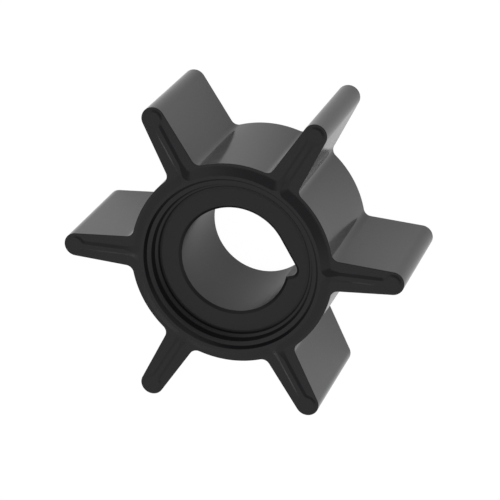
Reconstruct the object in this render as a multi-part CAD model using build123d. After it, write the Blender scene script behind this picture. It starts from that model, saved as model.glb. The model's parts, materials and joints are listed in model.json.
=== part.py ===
from build123d import *
from math import cos, radians, sin, sqrt
import os

# Flexible-vane pump impeller: a rubber body with six vanes, moulded round a hard hub bush.
# Millimetres. The axis is +Z and the first vane points along +X.
# The part lies on its lower seal bead at Z = 0, and both of its ends are alike.

# Vanes and hub of the rubber body
vane_count = 6
tip_radius = 20.0
vane_height = 15.6          # from one end face of the vanes to the other
vane_root_thickness = 3.65
tip_bead_radius = 1.37      # the round edge that wipes the pump chamber
vane_root_fillet = 0.95
arris = 0.15                # moulded edge all round the end faces
hub_margin = 0.27           # end face left outside the foot of the seal ring

# Seal bead on each end face: a ring that slopes outwards, and a lower rib on every vane
seal_height = 0.55
seal_crest_width = 0.5
seal_slope = 0.92           # plan width of the ring's outer wall
rib_height = 0.32
rib_crest_width = 0.4
rib_slope = 0.6             # plan width of a rib's wall
rib_corner_round = 0.3      # in plan, at the foot, where a rib leaves the ring
rib_drop_start = 1.7        # from the tip bead's centre in, where a rib starts to drop
rib_drop_end = 0.5          # and where it is down to the button

# Low button at the tip of every vane
button_height = 0.15
button_radius = 1.1
button_slope = 0.3

# Stepped mouth of the body, from the ring down to the bush
mouth_step = 0.35           # from the crest of the seal bead down to the ledge
mouth_slope = 0.35          # plan width of the step's wall
mouth_ledge_width = 0.35
mouth_depth = 0.9           # from the ledge down to the lip
mouth_wall_slope = 0.16
lip_width = 0.55            # from the wall of the mouth in to the lip's edge
lip_thickness = 0.4         # rubber over the rim of the bush

# Hub bush
bore_radius = 6.25
bush_wall = 3.05            # from the bore to the outside
lip_cover = 0.5             # how much of the bush's rim the lip hides
bore_chamfer = 0.15
bush_edge_chamfer = 0.25

# Keyway: one flank leaves the bore at a tangent, and the drive face comes back to it
key_flank_angle = 31.0
key_corner_angle = -6.0
key_face_angle = -12.0
key_corner_round = 0.8

near = 0.01                 # places closer than this are the same place
overrun = 1.0               # how far a cutting solid passes the face that it opens

bush_radius = bore_radius + bush_wall
lip_radius = bush_radius - lip_cover
mouth_radius = lip_radius + lip_width
mouth_edge_radius = mouth_radius + mouth_wall_slope
ledge_radius = mouth_edge_radius + mouth_ledge_width
crest_inner = ledge_radius + mouth_slope
crest_outer = crest_inner + seal_crest_width
hub_radius = crest_outer + seal_slope + hub_margin
bead_centre = tip_radius - tip_bead_radius

face_z = vane_height / 2
top_z = face_z + seal_height
rib_z = face_z + rib_height
button_z = face_z + button_height
ledge_z = top_z - mouth_step
lip_z = ledge_z - mouth_depth
bush_z = lip_z - lip_thickness


def polar(radius, angle):
    """Point in the plan at a radius and an angle in degrees."""
    return (radius * cos(radians(angle)), radius * sin(radians(angle)))


def vane_outline():
    """Plan of one vane along +X: a wedge whose sides run tangent into the tip bead."""
    half_root = vane_root_thickness / 2
    root_x = sqrt(hub_radius**2 - half_root**2)
    bead = CenterArc((bead_centre, 0), tip_bead_radius, 0, 360)
    sides = ConstrainedLines(bead, (root_x, half_root)).edges()
    touch = sides.sort_by(Axis.Y)[-1].vertices().sort_by(Axis.X)[-1]
    lower = [(root_x - half_root, -half_root), (root_x, -half_root), (touch.X, -touch.Y)]
    upper = [(x, -y) for x, y in reversed(lower)]
    return Polygon(*lower, *upper, align=None) + Pos(bead_centre, 0) * Circle(tip_bead_radius)


def body_outline():
    """Plan of the hub with all of its vanes, with the roots filleted."""
    plan = Circle(hub_radius) + PolarLocations(0, vane_count) * vane_outline()
    roots = plan.vertices().filter_by(lambda v: abs(v.center().length - hub_radius) < near)
    return fillet(roots, vane_root_fillet)


def seal_outline(ring_radius, rib_width, corner_round):
    """Plan of the ring with its ribs at one height, filled inside the ring."""
    rib = Pos(bead_centre / 2, 0) * Rectangle(bead_centre, rib_width)
    plan = Circle(ring_radius) + PolarLocations(0, vane_count) * rib
    corners = plan.vertices().filter_by(lambda v: abs(v.center().length - ring_radius) < near)
    return fillet(corners, corner_round)


def seal_bead():
    """The ring and its ribs, widening downwards into the body."""
    foot_radius = crest_outer + seal_slope
    rib_level_radius = foot_radius - seal_slope * rib_height / seal_height
    foot = seal_outline(foot_radius, rib_crest_width + 2 * rib_slope, rib_corner_round)
    ribs = seal_outline(rib_level_radius, rib_crest_width, rib_corner_round + rib_slope)
    foot = Pos(0, 0, face_z) * foot
    ring = Pos(0, 0, rib_z) * Cone(
        rib_level_radius, crest_outer, seal_height - rib_height,
        align=(Align.CENTER, Align.CENTER, Align.MIN),
    )
    return loft([foot, Pos(0, 0, rib_z) * ribs], ruled=True) + ring + extrude(foot, -overrun)


def rib_drop():
    """What is taken off the end of the rib along +X, from its drop to past the tip."""
    start = bead_centre - rib_drop_start
    end = bead_centre - rib_drop_end
    past = tip_radius + overrun
    above = top_z + overrun
    side = Polygon(
        (start, rib_z), (end, button_z), (past, button_z), (past, above), (start, above),
        align=None,
    )
    return extrude(Plane.XZ * side, vane_root_thickness / 2, both=True)


def button():
    """Low button over the tip bead of the vane along +X."""
    return Pos(bead_centre, 0, face_z) * Cone(
        button_radius, button_radius - button_slope, button_height,
        align=(Align.CENTER, Align.CENTER, Align.MIN),
    )


def mouth_profile():
    """Half section of the stepped mouth, from above the bead down to the bush."""
    above = top_z + overrun
    section = Polygon(
        (0, bush_z), (lip_radius, bush_z), (lip_radius, lip_z), (mouth_radius, lip_z),
        (mouth_edge_radius, ledge_z), (ledge_radius, ledge_z), (crest_inner, top_z),
        (crest_inner, above), (0, above), align=None,
    )
    return Plane.XZ * section


def bush_blank():
    """Outside of the bush, with no bore."""
    blank = Cylinder(bush_radius, 2 * bush_z)
    return chamfer(blank.edges().filter_by(GeomType.CIRCLE), bush_edge_chamfer)


def bore_outline():
    """Plan of the keyed bore."""
    corner_radius = bore_radius / cos(radians(key_flank_angle - key_corner_angle))
    corner = polar(corner_radius, key_corner_angle)
    notch = Polygon(
        (0, 0), polar(bore_radius, key_face_angle), corner,
        polar(bore_radius, key_flank_angle), align=None,
    )
    tip = notch.vertices().sort_by(lambda v: v.center().length)[-1]
    return Circle(bore_radius) + fillet(tip, key_corner_round)


def rubber_impeller():
    """The moulded body, made as its upper half and mirrored."""
    half = extrude(body_outline(), face_z)
    rim = half.faces().sort_by(Axis.Z)[-1].outer_wire().edges()
    half = chamfer(rim, arris)

    vanes = PolarLocations(0, vane_count)
    half = half + (seal_bead() - vanes * rib_drop())
    half = half + vanes * button()
    half = half - revolve(mouth_profile(), Axis.Z)

    body = half + mirror(half, Plane.XY)
    return body - bush_blank()


def hub_bush():
    """The bush that the body is moulded on, with its keyed bore."""
    bore = extrude(bore_outline(), bush_z + overrun, both=True)
    bush = bush_blank() - bore
    ends = bush.faces().filter_by(Plane.XY)
    mouths = [wire.edges() for face in ends for wire in face.inner_wires()]
    return chamfer([edge for wire in mouths for edge in wire], bore_chamfer)


os.makedirs("parts", exist_ok=True)
for name, solid in {"rubber_impeller": rubber_impeller(), "hub_bush": hub_bush()}.items():
    placed = Pos(0, 0, top_z) * solid
    placed.label = name
    export_step(placed, f"parts/{name}.step")
    print(name, "volume", round(placed.volume, 1), "mm3, size", placed.bounding_box().size)
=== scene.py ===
# %% [markdown]
# # A flexible-vane rubber pump impeller
#
# This lesson dresses a small moulded part: the impeller of a cooling water pump. It is one
# rubber moulding on a hard bush, and it lies on its end face on a pale floor.
#
# Everything here is built around a measured model, the frame, which says how large the part is
# and where it lies. The lesson adds what the eye wants: soft moulded edges, a satin surface
# and a calm light.

# %% Load the frame
import json
import math

import bmesh
import bpy
from mathutils import Matrix, Vector


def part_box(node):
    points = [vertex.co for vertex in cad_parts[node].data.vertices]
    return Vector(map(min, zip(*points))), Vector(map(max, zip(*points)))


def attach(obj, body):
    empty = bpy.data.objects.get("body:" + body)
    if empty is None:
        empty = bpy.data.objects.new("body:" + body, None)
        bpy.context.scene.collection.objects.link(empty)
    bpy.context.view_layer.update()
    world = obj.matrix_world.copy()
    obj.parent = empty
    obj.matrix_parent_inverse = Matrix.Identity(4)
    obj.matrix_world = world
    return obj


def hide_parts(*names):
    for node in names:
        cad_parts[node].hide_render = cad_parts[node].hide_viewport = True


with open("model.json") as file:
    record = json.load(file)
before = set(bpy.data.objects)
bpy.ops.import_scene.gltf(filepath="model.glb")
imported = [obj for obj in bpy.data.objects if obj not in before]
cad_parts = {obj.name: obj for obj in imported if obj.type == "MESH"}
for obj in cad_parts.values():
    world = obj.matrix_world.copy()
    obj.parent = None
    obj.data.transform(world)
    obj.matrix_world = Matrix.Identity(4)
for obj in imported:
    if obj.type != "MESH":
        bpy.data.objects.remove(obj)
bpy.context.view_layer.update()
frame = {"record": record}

# %% [markdown]
# ## Sizes
#
# Sizes are in millimetres, as on a drawing, and become metres only where a mesh is made. The
# tips, the height and the bush are read from the frame, so the dressed part can't drift away
# from it. The rest are the small mouldings of the end faces, each written once.

# %% Sizes
MM = 0.001

rubber_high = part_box("rubber_impeller")[1] / MM
bush_low, bush_high = (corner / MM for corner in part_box("hub_bush"))
mounts = {m["name"]: m for m in frame["record"]["mounts"]}

tip_radius = rubber_high.x
top = rubber_high.z / 2          # all heights count from the middle plane
bush_radius = bush_high.x
bush_top = (bush_high.z - bush_low.z) / 2
bore_radius = mounts["bore"]["dims"]["r_mm"]

VANES = 6
seal_height = 0.55
face = top - seal_height         # the end faces of the vanes
root_thickness = 3.65
tip_bead = 1.37                  # radius of the round edge at a vane's tip
root_fillet = 0.95
hub_radius = 11.9
arris = 0.08                     # moulded round along the edges of the end faces

print(f"tips {tip_radius:.2f}, half height {top:.2f}, "
      f"bush {bush_radius:.2f}, bore {bore_radius:.2f}")

# %% [markdown]
# ## Outlines that can be offset
#
# Every edge of this part follows one of two outlines in plan: the body's, and the seal bead's.
# A Bevel modifier could round them, but its faces get uneven where an outline is curved. If each
# point of an outline also knows which way is out, a rounded edge is only the outline repeated a
# little further in and a little lower. So an outline is a list of pairs: a point, and the
# direction that leads out of the rubber.

# %% Arcs, lines and corners
ARC_STEP = 0.12                  # longest step along an arc
ARC_TURN = 6.0                   # and the most that it may turn, in degrees
LINE_STEP = 1.0


def polar(radius, degrees):
    """A point in plan."""
    turn = math.radians(degrees)
    return Vector((radius * math.cos(turn), radius * math.sin(turn)))


def bearing(vector):
    """The direction of a vector in degrees, from 0 to 360."""
    return math.degrees(math.atan2(vector.y, vector.x)) % 360


def arc(centre, radius, start, end, side=1):
    """An arc. side is 1 where the rubber is inside it, and -1 round a hollow corner."""
    turn = end - start
    length = math.radians(abs(turn)) * radius
    steps = max(2, math.ceil(length / ARC_STEP), math.ceil(abs(turn) / ARC_TURN))
    ways = [polar(1, start + turn * i / steps) for i in range(steps + 1)]
    return [(centre + radius * way, side * way) for way in ways]


def line(start, end, out):
    """A straight stretch, without its two end points."""
    steps = math.ceil((end - start).length / LINE_STEP)
    return [(start.lerp(end, i / steps), out) for i in range(1, steps)]


def corner_centre(centre, radius, point, along, out, fillet):
    """Centre of the fillet between a circle and the line through point, on its out side."""
    start = point + fillet * out - centre
    middle = start.dot(along)
    reach = math.sqrt(middle**2 - start.length_squared + (radius + fillet) ** 2)
    return centre + start + (reach - middle) * along


def around(half):
    """The whole outline, from the half sector between a vane's middle and the next gap's."""
    flipped = [(Vector((p.x, -p.y)), Vector((n.x, -n.y))) for p, n in reversed(half)]
    sector = flipped[:-1] + half[:-1]
    whole = []
    for k in range(VANES):
        turn = Matrix.Rotation(math.tau * k / VANES, 2)
        whole += [(turn @ p, turn @ n) for p, n in sector]
    return whole


# %% [markdown]
# ## The body's outline
#
# A vane is a wedge. It is thickest at the hub, and its two sides run straight into the round
# bead that wipes the wall of the pump. At the root a fillet keeps the rubber from tearing.

# %% Outline of the body
def body_outline():
    """Plan of the hub with its vanes."""
    centre = Vector((0, 0))
    bead = Vector((tip_radius - tip_bead, 0))
    root = Vector((math.sqrt(hub_radius**2 - (root_thickness / 2) ** 2), root_thickness / 2))
    reach = bead - root
    slope = math.radians(bearing(reach)) + math.asin(tip_bead / reach.length) - math.tau
    along = Vector((math.cos(slope), math.sin(slope)))
    out = Vector((-along.y, along.x))
    hollow = corner_centre(centre, hub_radius, root, along, out, root_fillet)
    half = arc(bead, tip_bead, 0, bearing(out))
    half += line(bead + tip_bead * out, hollow - root_fillet * out, out)
    half += arc(hollow, root_fillet, bearing(out) + 180, bearing(hollow) + 180, side=-1)
    half += arc(centre, hub_radius, bearing(hollow), 180 / VANES)[1:]
    return around(half)


body_path = body_outline()
points = [p for p, n in body_path]
body_length = sum((a - b).length for a, b in zip(points, points[1:] + points[:1]))
print(len(points), "points round the body, length", round(body_length, 1), "mm")

# %% [markdown]
# ## The seal bead's outline
#
# A ring runs round the hub, a rib runs out along each vane, and each rib ends in a round button
# over the tip bead. The outline below is taken half-way up the sloping walls.

# %% Outline of the seal bead
ring_outer = 11.16               # half-way up the wall of the bead
rib_half = 0.42
button_radius = 1.0
seal_corner = 0.6


def seal_outline():
    """Plan of the seal bead at half its height."""
    centre = Vector((0, 0))
    button = Vector((tip_radius - tip_bead, 0))
    edge, up, along = Vector((0, rib_half)), Vector((0, 1)), Vector((1, 0))
    outer = corner_centre(button, button_radius, edge, -along, up, seal_corner)
    inner = corner_centre(centre, ring_outer, edge, along, up, seal_corner)
    half = arc(button, button_radius, 0, bearing(outer - button))
    half += arc(outer, seal_corner, bearing(button - outer), 270, side=-1)[1:]
    half += line(outer - seal_corner * up, inner - seal_corner * up, up)
    half += arc(inner, seal_corner, 270, bearing(inner) + 180, side=-1)
    half += arc(centre, ring_outer, bearing(inner), 180 / VANES)[1:]
    return around(half)


seal_path = seal_outline()
print(len(seal_path), "points round the seal bead")

# %% [markdown]
# ## From outline to surface
#
# A section is a list of steps: how far in from the outline, and how high. Repeating the outline
# at each step and joining neighbours gives clean strips of four-sided faces that follow the
# edge. Smooth shading would run on from such an edge into the flat face beside it, so one more
# step just inside each flat face keeps that face flat.

# %% Sweep a section along an outline
HOLD = 0.03                      # width of the strips that keep flat faces flat


def loop_at(mesh, path, inset, height):
    """One loop of vertices, moved in from the outline."""
    return [mesh.verts.new((*(p - inset * n), height)) for p, n in path]


def circle_path(radius, side=1):
    """A round outline."""
    return arc(Vector((0, 0)), radius, 0, 360, side)[:-1]


def join(mesh, loops):
    """Strips of faces between neighbouring loops with as many vertices."""
    for lower, upper in zip(loops, loops[1:]):
        for i in range(len(lower)):
            mesh.faces.new((lower[i - 1], lower[i], upper[i], upper[i - 1]))


def sweep(mesh, path, section):
    """Strips along a path. Gives back the first loop."""
    loops = [loop_at(mesh, path, inset, height) for inset, height in section]
    join(mesh, loops)
    return loops[0]


def fill(mesh, *loops):
    """A flat face between loops, as triangles."""
    edges = [mesh.edges.get((loop[i - 1], loop[i])) for loop in loops for i in range(len(loop))]
    bmesh.ops.triangle_fill(mesh, edges=edges, use_beauty=True)


# %% [markdown]
# ## Sections of soft edges
#
# Rubber fills a mould whose edges were cut with a round tool and then polished, so no edge on it
# is sharp. An outer edge is a quarter round. A low step has a straight wall that bends gently at
# its brow and at its toe, and these bends are what catches the light.

# %% Quarter rounds and soft steps
def quarter(inset, height, radius, steps=5):
    """Section of a convex edge: from the flat face, round and down to the wall."""
    turns = [math.pi / 2 * i / steps for i in range(steps + 1)]
    return [(inset + radius * (1 - math.sin(t)), height - radius * (1 - math.cos(t)))
            for t in turns]


def soft_step(inset_high, high, inset_low, low, brow=0.15, toe=0.15, steps=4):
    """Section of a step. brow and toe are the shares of the wall's width that bend."""
    grade = 1 / (1 - (brow + toe) / 2)
    turns = [i / steps for i in range(steps + 1)]
    pairs = [(brow * t, grade * brow * t**2 / 2) for t in turns]
    pairs += [(1 - toe * t, 1 - grade * toe * t**2 / 2) for t in reversed(turns)]
    return [(inset_high + (inset_low - inset_high) * s, high + (low - high) * d)
            for s, d in pairs]


# %% [markdown]
# ## From half a mesh to a piece
#
# The part is the same at both ends, so each piece is made as its upper half, from the middle
# plane up. One function mirrors it, turns millimetres into metres, shades it smooth and leaves
# only real corners sharp. It also counts the open edges, of which a closed piece has none.

# %% Finish a piece
MIRROR_GAP = 1e-4                # points of the two halves that lie closer than this are joined


def finish_mesh(mesh, name, sharp_degrees):
    """Mirrors a half to the other side of the middle plane and makes it an object."""
    bmesh.ops.mirror(mesh, geom=mesh.verts[:] + mesh.edges[:] + mesh.faces[:],
                     matrix=Matrix.Identity(4), merge_dist=MIRROR_GAP, axis="Z")
    bmesh.ops.translate(mesh, verts=mesh.verts, vec=(0, 0, top))
    bmesh.ops.scale(mesh, verts=mesh.verts, vec=(MM, MM, MM))
    bmesh.ops.recalc_face_normals(mesh, faces=mesh.faces)
    data = bpy.data.meshes.new(name)
    mesh.to_mesh(data)
    open_edges = sum(1 for e in mesh.edges if not e.is_manifold)
    mesh.free()
    data.shade_smooth()
    data.set_sharp_from_angle(angle=math.radians(sharp_degrees))
    piece = bpy.data.objects.new(name, data)
    bpy.context.scene.collection.objects.link(piece)
    print(name, len(data.polygons), "faces, open edges:", open_edges)
    return piece


# %% [markdown]
# ## The wall of the seal bead
#
# The bead seals against the plates of the pump. It is highest round the ring, less than half as
# high along the ribs and lower still on the buttons. So one loop of its wall doesn't lie at one
# height: each point takes its height and its inset from how far out it is, and between the ring,
# the rib and the button both go over softly into each other.

# %% The wall of the seal bead
rib_height = 0.22
button_height = 0.12
rib_start = 12.3                 # where the ring has come down to the rib
drop_start, drop_end = 16.9, 18.2    # where a rib's crest drops to the button
ring_wall = 1.12                 # plan width of the ring's outer wall
rib_wall = 0.38
button_wall = 0.35
seal_brow, seal_toe = 0.06, 0.3  # the shares of the wall's width that bend


def ease(before, after, start, end, radius):
    """A value that goes over softly into another one between two radii."""
    part = min(max((radius - start) / (end - start), 0), 1)
    return before + (after - before) * (1 - math.cos(math.pi * part)) / 2


def along_bead(radius, ring, rib, button):
    """A size of the bead at a radius: the ring's, then the rib's, and at the tip the button's."""
    size = ease(ring, rib, ring_outer, rib_start, radius)
    return ease(size, button, drop_start, drop_end, radius)


def seal_loop(mesh, across, share, extra=0):
    """One loop of the bead's wall, at a share of its width and of the crest's height."""
    loop = []
    for p, n in seal_path:
        wall = along_bead(p.length, ring_wall, rib_wall, button_wall)
        q = p - (across * wall + extra) * n
        height = along_bead(p.length, seal_height, rib_height, button_height)
        loop.append(mesh.verts.new((*q, face + share * height)))
    return loop


def seal_wall(mesh):
    """The wall of the bead. Gives back its loops just inside the crest and round the foot."""
    # The outline is half-way down, so the wall runs from half its width in to half out.
    steps = soft_step(0.5, 1, -0.5, 0, seal_brow, seal_toe)
    wall = [(0.5, 1, HOLD)] + [(*step, 0) for step in steps] + [(-0.5, 0, -HOLD)]
    loops = [seal_loop(mesh, *step) for step in wall]
    join(mesh, loops)
    return loops[0], loops[-1]


# %% [markdown]
# ## The crest of the seal bead
#
# The ring's crest is flat and can be filled in one go. The ribs' crests change their height, and
# a triangle fill would fold them, so rungs run across each of them from side to side.

# %% The crest of the seal bead
rung_start = ring_outer + 1      # the rungs run from the tip in to here


def fill_crest(mesh, crest, mouth):
    """Rungs across the ribs and buttons, and a flat face over the ring."""
    sector = len(crest) // VANES
    tip = sector // 2
    reach = sum(1 for v in crest[tip:sector] if v.co.xy.length > rung_start)
    flat = []
    for k in range(0, len(crest), sector):
        left = [crest[k + tip + j] for j in range(reach)]
        right = [crest[k + tip - j] for j in range(reach)]
        mesh.faces.new((left[0], left[1], right[1]))
        for j in range(1, reach - 1):
            mesh.faces.new((left[j], left[j + 1], right[j + 1], right[j]))
        flat += crest[k:k + tip - reach + 2] + crest[k + tip + reach - 1:k + sector]
    fill(mesh, flat, mouth)


# %% [markdown]
# ## The stepped mouth
#
# Inside the ring the rubber steps down twice: to a narrow ledge, and then to a thin lip that
# holds the rim of the bush. The mouth is round, so one section turned round the axis makes it.
# It goes on under the lip, round the bush and down to the middle plane.

# %% The stepped mouth
ring_inner = 10.1                # half-way down the ring's inner wall
inner_wall = 0.34                # plan width of that wall
ledge_drop = 0.5
mouth_radius = 9.36              # half-way down the mouth's wall
mouth_wall = 0.24                # plan width of that wall
mouth_drop = 0.76
floor_fall = 0.06                # how much the ledge and the lip fall towards the axis
lip_radius = 8.87
lip_round = 0.3
groove_width, groove_depth = 0.36, 0.13   # a shallow groove in the bush, along the lip's edge

ledge = top - ledge_drop
lip = ledge - mouth_drop
seat = bush_top - groove_depth   # where the lip lies on the bush


def mouth_section():
    """Radius and height of the stepped mouth, from the ring's crest to the middle plane."""
    crest_edge = ring_inner + inner_wall / 2
    ledge_edge = mouth_radius + mouth_wall / 2
    steps = [(crest_edge + HOLD, top)]
    steps += soft_step(crest_edge, top, ring_inner - inner_wall / 2, ledge)
    steps += soft_step(ledge_edge, ledge - floor_fall, mouth_radius - mouth_wall / 2, lip)
    steps += [(lip_radius + inset, height)
              for inset, height in quarter(0, lip - floor_fall, lip_round)]
    steps += [(lip_radius, seat), (bush_radius, seat), (bush_radius, 0)]
    return steps


# %% [markdown]
# ## The rubber body
#
# The moulding is put together from outside to inside: the side walls and their rounded edge,
# the wall of the seal bead, the flat end face between the two, the stepped mouth, and last the
# crest that closes the bead.

# %% The rubber body
def rubber_body():
    """The moulding, closed all round."""
    mesh = bmesh.new()
    # The side walls get their loops closest together right under the rounded edge.
    side = [(0, height) for height in (face - 1.5 * arris, face - 1.0, face / 2, 0)]
    rim = sweep(mesh, body_path, [(arris + HOLD, face)] + quarter(0, face, arris) + side)
    crest, foot = seal_wall(mesh)
    fill(mesh, rim, foot)
    inner = [(radius - lip_radius, height) for radius, height in mouth_section()]
    mouth = sweep(mesh, circle_path(lip_radius, side=-1), inner)
    fill_crest(mesh, crest, mouth)
    return finish_mesh(mesh, "moulded_impeller", sharp_degrees=60)


rubber = rubber_body()

# %% [markdown]
# ## The hub bush
#
# The bush is a plain ring with a keyed bore. The bore's outline is a circle with a notch: one
# flank leaves the circle at a tangent, and the drive face comes straight back to it. A boolean
# cut could make the notch, but an outline with its own directions gives it the same clean
# chamfer as the round bore. The bush's rim lies under the rubber lip, and along the lip's edge
# there is a shallow groove, which shows as a fine dark line.

# %% The hub bush
flank_angle, corner_angle, drive_angle = 31.0, -6.0, -12.0
corner_round = 0.8
bore_chamfer = 0.3
bush_chamfer = 0.25


def bore_outline():
    """Plan of the keyed bore. Out of the material is towards the axis."""
    start, drive = polar(bore_radius, flank_angle), polar(bore_radius, drive_angle)
    corner_radius = bore_radius / math.cos(math.radians(flank_angle - corner_angle))
    corner = polar(corner_radius, corner_angle)
    face_way, flank_way = (corner - drive).normalized(), (start - corner).normalized()
    face_out = Vector((-face_way.y, face_way.x))
    flank_out = Vector((-flank_way.y, flank_way.x))
    half_turn = face_way.angle(flank_way) / 2
    setback = corner_round * math.tan(half_turn)
    hollow = corner - setback * face_way + corner_round * face_out
    first, last = bearing(-face_out), bearing(-flank_out)
    if last < first:
        last += 360
    # The edge where the drive face meets the bore moves in along both of them.
    bore_out = -polar(1, drive_angle)
    edge_out = (face_out + bore_out) / (1 + face_out.dot(bore_out))
    path = arc(Vector((0, 0)), bore_radius, flank_angle, 360 + drive_angle, side=-1)[:-1]
    path += [(drive, edge_out)]
    path += line(drive, corner - setback * face_way, face_out)
    path += arc(hollow, corner_round, first, last, side=-1)
    path += line(corner + setback * flank_way, start, flank_out)
    return path


def hub_bush():
    """The bush, closed all round."""
    mesh = bmesh.new()
    groove = bush_radius - lip_radius - HOLD    # starts just under the lip
    groove_end = groove + groove_width
    outer = [(groove_end + HOLD, bush_top), (groove_end, bush_top), (groove, seat)]
    outer += [(bush_chamfer, seat), (0, seat - bush_chamfer), (0, 0)]
    rim = sweep(mesh, circle_path(bush_radius), outer)
    bore_edge = bush_top - bore_chamfer
    bore = [(bore_chamfer + HOLD, bush_top), (bore_chamfer, bush_top)]
    bore += [(0, bore_edge), (0, bore_edge - HOLD), (0, 0)]
    mouth = sweep(mesh, bore_outline(), bore)
    fill(mesh, rim, mouth)
    return finish_mesh(mesh, "keyed_bush", sharp_degrees=30)


bush = hub_bush()

# %% [markdown]
# ## Colours and nodes
#
# Colours are written as sRGB hex values, as a colour picker shows them, and one function turns
# them into the linear values that shaders work with. One more function adds a node with its
# settings and its links.

# %% Helpers for materials
def linear(hex_colour):
    """Linear RGBA of an sRGB hex colour."""
    values = [int(hex_colour[i:i + 2], 16) / 255 for i in (1, 3, 5)]
    return [v / 12.92 if v <= 0.04045 else ((v + 0.055) / 1.055) ** 2.4 for v in values] + [1.0]


def add_node(tree, kind, inputs=None, **settings):
    """Adds a node. A linked input is given as an output socket, any other as its value."""
    node = tree.nodes.new(kind)
    for key, value in settings.items():
        setattr(node, key, value)
    for key, value in (inputs or {}).items():
        if isinstance(value, bpy.types.NodeSocket):
            tree.links.new(value, node.inputs[key])
        else:
            node.inputs[key].default_value = value
    return node


def new_material(name):
    """A node material with no nodes yet, and its node tree."""
    material = bpy.data.materials.new(name)
    material.use_nodes = True
    material.node_tree.nodes.clear()
    return material, material.node_tree


# %% [markdown]
# ## Nitrile rubber
#
# Pump impellers are moulded in nitrile or neoprene rubber, filled with carbon black. Straight
# from a polished mould it is nearly black with a satin skin: the colour shows little, and what
# the eye reads is the reflection, weak when it looks straight down on a face and strong along
# it. A fine grain breaks the reflection up, and a slow change in roughness keeps large faces
# from looking the same all over.

# %% Nitrile rubber, moulded
MOULDED_IOR = 1.52               # of the filled rubber and of the nylon alike
GRAIN_MM = 0.25                  # the mould's fine skin, drawn coarse enough to show
GRAIN_DEPTH_MM = 0.02
CLOUD_MM = 6.0                   # slow changes in the skin's shine
NOISE_LOW, NOISE_HIGH = 0.3, 0.7     # most of a noise texture's values lie between these

rubber_colour = "#18181a"
rubber_roughness = 0.14
rubber_shine_change = 0.03       # how far the roughness goes up and down
rubber_grain = 0.15


def moulded_rubber():
    """Carbon-black nitrile rubber from a polished mould."""
    material, tree = new_material("nitrile_rubber_moulded")
    place = add_node(tree, "ShaderNodeTexCoord").outputs["Object"]
    cloud = add_node(tree, "ShaderNodeTexNoise", {
        "Vector": place, "Scale": 1 / (CLOUD_MM * MM), "Detail": 3.0})
    grain = add_node(tree, "ShaderNodeTexNoise", {
        "Vector": place, "Scale": 1 / (GRAIN_MM * MM), "Detail": 2.0})
    rough = add_node(tree, "ShaderNodeMapRange", {
        "Value": cloud.outputs["Fac"], "From Min": NOISE_LOW, "From Max": NOISE_HIGH,
        "To Min": rubber_roughness - rubber_shine_change,
        "To Max": rubber_roughness + rubber_shine_change})
    bump = add_node(tree, "ShaderNodeBump", {
        "Height": grain.outputs["Fac"], "Strength": rubber_grain,
        "Distance": GRAIN_DEPTH_MM * MM})
    shader = add_node(tree, "ShaderNodeBsdfPrincipled", {
        "Base Color": linear(rubber_colour), "Roughness": rough.outputs["Result"],
        "IOR": MOULDED_IOR, "Normal": bump.outputs["Normal"]})
    add_node(tree, "ShaderNodeOutputMaterial", {"Surface": shader.outputs["BSDF"]})
    return material


rubber.data.materials.append(moulded_rubber())
print("rubber", rubber_colour, "roughness", rubber_roughness)

# %% [markdown]
# ## Glass-filled nylon
#
# The bush carries the shaft's torque, so it is a stiff plastic. Glass-filled nylon comes out of
# the mould matt and neutral in colour, a touch less blue than the rubber round it.

# %% Glass-filled nylon, moulded
nylon_colour = "#161616"
nylon_roughness = 0.35
nylon_grain = 0.06


def moulded_nylon():
    """Black nylon with glass fibre."""
    material, tree = new_material("glass_filled_nylon_moulded")
    place = add_node(tree, "ShaderNodeTexCoord").outputs["Object"]
    grain = add_node(tree, "ShaderNodeTexNoise", {
        "Vector": place, "Scale": 1 / (GRAIN_MM * MM), "Detail": 3.0})
    bump = add_node(tree, "ShaderNodeBump", {
        "Height": grain.outputs["Fac"], "Strength": nylon_grain,
        "Distance": GRAIN_DEPTH_MM * MM})
    shader = add_node(tree, "ShaderNodeBsdfPrincipled", {
        "Base Color": linear(nylon_colour), "Roughness": nylon_roughness,
        "IOR": MOULDED_IOR, "Normal": bump.outputs["Normal"]})
    add_node(tree, "ShaderNodeOutputMaterial", {"Surface": shader.outputs["BSDF"]})
    return material


bush.data.materials.append(moulded_nylon())
print("nylon", nylon_colour, "roughness", nylon_roughness)

# %% [markdown]
# ## Putting the pieces on the frame
# The frame holds the part's solids and their weight. Each piece rides on the frame's body and
# stands for the plain node that it covers, which is then hidden. Each line of the table also
# gives the name of a finish slot.

# %% Ride on the frame
covers = (
    (rubber, "rubber_impeller", "moulded_rubber"),
    (bush, "hub_bush", "bush_plastic"),
)
for piece, node, slot in covers:
    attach(piece, "root")
    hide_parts(node)
    print(piece.name, "stands for", node)

# %% [markdown]
# ## The floor
#
# The part lies on a plain white floor. A floor that is lit like everything else never comes out
# as clean as the white of a catalogue picture. So for rays from the camera nearly all of the
# floor's brightness is its own, and for those that the part's surface reflects not quite half of
# it. The rest is lit, and so the floor keeps a faint shadow round the part.

# %% Floor
FLOOR_SIZE = 3.0                 # metres
floor_colour = "#f4f4f4"
floor_white = 1.02               # its own brightness, a little above plain white
floor_glow = 0.97                # the share of the floor's brightness that is its own
floor_glow_reflected = 0.42      # the same, as the part's surface reflects the floor


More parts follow.
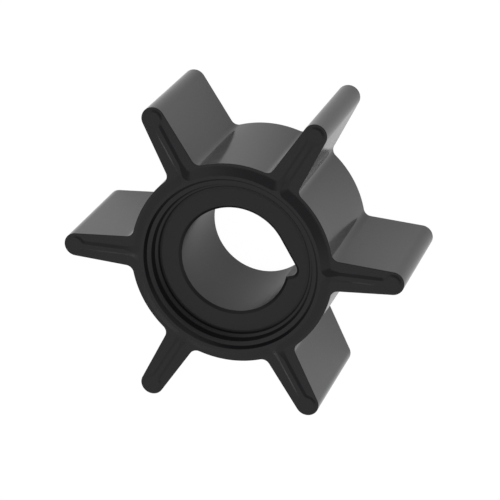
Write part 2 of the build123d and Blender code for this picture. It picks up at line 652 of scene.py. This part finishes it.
def white_floor():
    """White paper that keeps a faint shadow."""
    material, tree = new_material("white_paper_matt")
    ray = add_node(tree, "ShaderNodeLightPath").outputs
    seen = add_node(tree, "ShaderNodeMath", {0: ray["Is Camera Ray"], 1: floor_glow},
                    operation="MULTIPLY")
    share = add_node(tree, "ShaderNodeMath", {
        0: ray["Is Glossy Ray"], 1: floor_glow_reflected, 2: seen.outputs[0]},
        operation="MULTIPLY_ADD")
    lit = add_node(tree, "ShaderNodeBsdfDiffuse", {"Color": linear(floor_colour)})
    own = add_node(tree, "ShaderNodeEmission", {"Color": (1, 1, 1, 1), "Strength": floor_white})
    both = add_node(tree, "ShaderNodeMixShader", {
        0: share.outputs[0], 1: lit.outputs[0], 2: own.outputs[0]})
    add_node(tree, "ShaderNodeOutputMaterial", {"Surface": both.outputs[0]})
    return material


bpy.ops.mesh.primitive_plane_add(size=FLOOR_SIZE, location=(0, 0, 0))
floor = bpy.context.object
floor.name = "floor"
floor.data.materials.append(white_floor())
print("floor", FLOOR_SIZE, "m wide")

# %% [markdown]
# ## The room
#
# The light is that of a small studio. The room is bright overhead and darker down at the
# horizon. The camera's side is darker still, and so is every small wall of the part that faces
# it: these changes in the reflection are what draws the low mouldings. The world's own nodes
# give such a room without a single object in it.

# %% Light from the room
room_dark, room_bright = 0.17, 0.44
room_low = 0.6                   # the share of the light that is left down at the horizon
full_height = 0.85               # from this height on, as a sine, all of the light is there
dark_azimuth, dark_elevation = 55, 55
dark_start, dark_full = 0.56, 0.94   # cosines of the angle to the dark side's middle


def soft_room():
    """Light from all round, and little of it from the camera's side."""
    world = bpy.data.worlds.new("room")
    world.use_nodes = True
    tree = world.node_tree
    rise = math.radians(dark_elevation)
    dark_side = (*(polar(1, dark_azimuth) * math.cos(rise)), math.sin(rise))
    way = add_node(tree, "ShaderNodeTexCoord").outputs["Generated"]
    along = add_node(tree, "ShaderNodeVectorMath", {0: way, 1: dark_side},
                     operation="DOT_PRODUCT")
    level = add_node(tree, "ShaderNodeMapRange", {
        "Value": along.outputs["Value"], "From Min": dark_start, "From Max": dark_full,
        "To Min": room_bright, "To Max": room_dark}, interpolation_type="SMOOTHSTEP")
    up = add_node(tree, "ShaderNodeSeparateXYZ", {0: way}).outputs["Z"]
    height = add_node(tree, "ShaderNodeMapRange", {
        "Value": up, "From Min": 0.0, "From Max": full_height,
        "To Min": room_low, "To Max": 1.0}, interpolation_type="SMOOTHSTEP")
    light = add_node(tree, "ShaderNodeMath", {
        0: level.outputs["Result"], 1: height.outputs["Result"]}, operation="MULTIPLY")
    background = tree.nodes["Background"].inputs
    tree.links.new(light.outputs[0], background["Strength"])
    background["Color"].default_value = (1, 1, 1, 1)
    bpy.context.scene.world = world


soft_room()
print("room from", room_dark, "to", room_bright)

# %% [markdown]
# ## The lamp
#
# One wide soft lamp straight above brings the light up to a plain level, at which a colour comes
# out about as it is written. The lamp lights the part but isn't mirrored in it, so the flat
# faces stay calm.

# %% Lamp above the part
LAMP_SIZE = 0.6                  # metres. The lamp hangs as high as it is wide
LAMP_SHARE = 0.24                # and so it gives this share of what a full sky would
lamp_level = 0.67


def lamp_above():
    """A square soft lamp that looks straight down and isn't seen in reflections."""
    data = bpy.data.lights.new("lamp_above", "AREA")
    data.size = LAMP_SIZE
    data.energy = lamp_level / LAMP_SHARE * math.pi * LAMP_SIZE**2
    lamp = bpy.data.objects.new("lamp_above", data)
    lamp.location = (0, 0, LAMP_SIZE)
    lamp.visible_glossy = False
    bpy.context.scene.collection.objects.link(lamp)
    print("lamp", round(data.energy, 2), "W")


lamp_above()

# %% [markdown]
# ## Camera
#
# The part is seen from above and from one side, through a long lens, as in a catalogue. The
# camera's turn is written as one vector: the axis of the turn, as long as its angle.

# %% Camera
view_place = Vector((0.06454, 0.0919, 0.23773))      # metres
view_turn = Vector((-2.7468, -0.098, 0.3841))        # from the part's axes to right, down, ahead
FOCAL_PIXELS = 2202.0            # focal length, in a picture this many pixels wide:
FRAME_PIXELS = 500
SENSOR_MM = 36.0

camera_data = bpy.data.cameras.new("camera")
camera_data.sensor_width = SENSOR_MM
camera_data.lens = SENSOR_MM * FOCAL_PIXELS / FRAME_PIXELS
camera = bpy.data.objects.new("camera", camera_data)
right, down, ahead = Matrix.Rotation(view_turn.length, 3, view_turn.normalized())
aim = Matrix((right, -down, -ahead)).transposed().to_4x4()
camera.matrix_world = Matrix.Translation(view_place) @ aim
bpy.context.scene.collection.objects.link(camera)
bpy.context.scene.camera = camera
bpy.context.scene.view_settings.view_transform = "Standard"
print("camera", [round(v, 4) for v in camera.location], "lens", round(camera_data.lens, 1), "mm")
